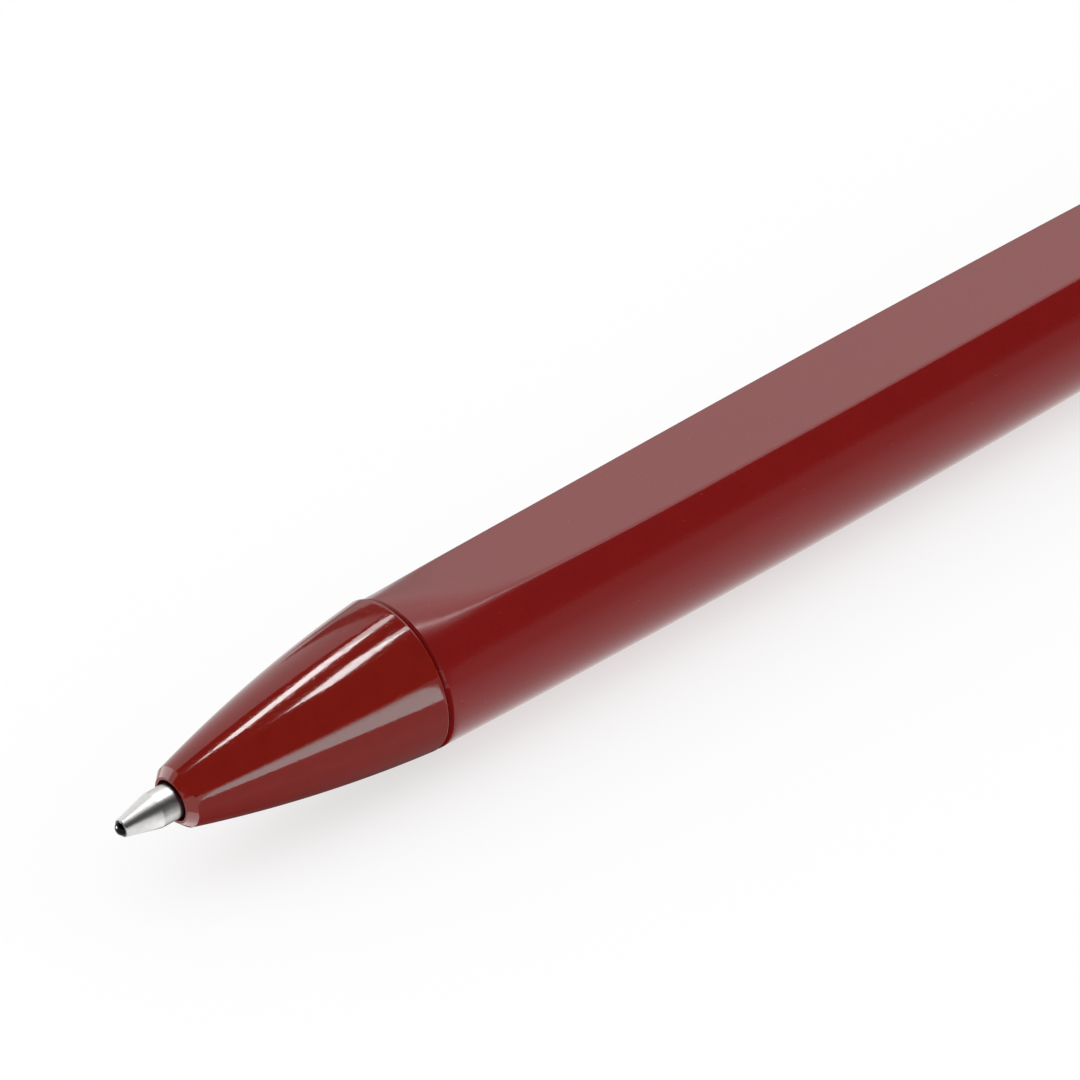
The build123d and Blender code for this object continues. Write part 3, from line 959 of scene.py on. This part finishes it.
def make_barrel_cards():
    """Cards on the floor for the barrel's sides: dull at the front, bright under it, dull behind."""
    front_y, back_y, far_back_y = -0.60, 0.02, 0.69
    front_rear, back_rear = 0.6, 2.5
    front_fade = ((-0.020, 0.36), (0.0, 1.2))
    back_fade = ((back_y, 1.2), (0.05, 0.3))
    make_card("barrel_card", (
        (cards_meet(front_y), front_y, card_z),
        (front_rear, front_y, card_z),
        (front_rear, back_y, card_z),
        (cards_meet(back_y), back_y, card_z),
        (seam + seam_step, 0.0, card_z),
    ), WHITE, front_fade)
    make_card("back_card", (
        (cards_meet(back_y), back_y, card_z),
        (back_rear, back_y, card_z),
        (back_rear, far_back_y, card_z),
        (cards_meet(far_back_y), far_back_y, card_z),
    ), WHITE, back_fade)


def make_flags(barrel):
    """Curved cards over the pen: dark ones for the sides, bright bands for the flat.

    The dark far flag is for the nose, so lamps in front of it fill the bands for the barrel."""
    front_end, split, rear_end, far_start = -1.5, 0.235, 2.5, 0.196
    front_high, side_high, far_high = 112.0, 62.0, 165.0
    dark, far_glow, fill_radius = 0.02, 0.10, 0.69
    bands = ((72.0, 120.0, 1.5), (120.0, 138.0, 1.25), (138.0, 152.0, 1.05), (152.0, 161.0, 0.8),
             (161.0, 170.0, 0.6), (170.0, 180.0, 0.4))
    make_flag("front_flag", (0.0, front_high), dark, (front_end, split))
    make_flag("side_flag", (0.0, side_high), dark, (split, rear_end))
    for low, high, radiance in bands:
        make_flag(f"overhead_{low:.0f}", (low, high), radiance, (split, rear_end))
    make_flag("far_flag", (front_high, far_high), far_glow, (far_start, split))
    far_middle = Vector(((far_start + split) / 2, 0.0, axis_height))
    for low, high, radiance in bands:
        low, high = max(low, front_high), min(high, far_high)
        if low < high:
            start, end = (far_middle + direction(turn, 0.0) * fill_radius for turn in (low, high))
            fill = strip_lamp(f"far_fill_{low:.0f}", start, end, split - far_start, radiance - far_glow,
                              far_middle)
            light_only(fill, barrel)


def make_camera():
    """The photograph's view: the seam's middle at its pixel, the pen rising to the right."""
    picture, focal, sensor = 1080, 7027.0, 36.0
    seam_pixel = (394.9, 675.6)
    pen_slope = math.radians(29.2)
    distance, clip_start, clip_end = 0.420, 0.01, 50.0
    to_camera = Vector((-0.469, -0.7685, 0.4348)).normalized()
    seam_middle = Vector((seam, 0.0, axis_height))
    across = (seam_pixel[0] - picture / 2) / focal
    up = -(seam_pixel[1] - picture / 2) / focal
    cos, sin = math.cos(pen_slope), math.sin(pen_slope)
    depth = (across * cos + up * sin) / (1 + across ** 2 + up ** 2)
    pen_seen = Vector((cos - across * depth, sin - up * depth, depth)).normalized()
    ray_seen = Vector((across, up, -1.0)).normalized()
    ray = -to_camera
    pen = Vector((1.0, 0.0, 0.0))
    pen = (pen - ray * pen.dot(ray)).normalized()
    seen = Matrix((ray_seen, pen_seen, ray_seen.cross(pen_seen))).transposed()
    real = Matrix((ray, pen, ray.cross(pen))).transposed()
    rotation = real @ seen.transposed()
    camera = bpy.data.cameras.new("camera")
    camera.lens = focal / picture * sensor
    camera.sensor_width = sensor
    camera.clip_start, camera.clip_end = clip_start, clip_end
    holder = bpy.data.objects.new("camera", camera)
    holder.matrix_world = Matrix.Translation(seam_middle + to_camera * distance) @ rotation.to_4x4()
    bpy.context.scene.collection.objects.link(holder)
    bpy.context.scene.camera = holder


make_world()
make_floor()
make_nose_strips()
make_nose_cards(nose_shell, writing_point)
make_point_lamps(nose_shell, writing_point, point_ball)
make_barrel_cards()
make_flags(barrel_shell)
make_camera()
bpy.context.scene.view_settings.view_transform = "Standard"
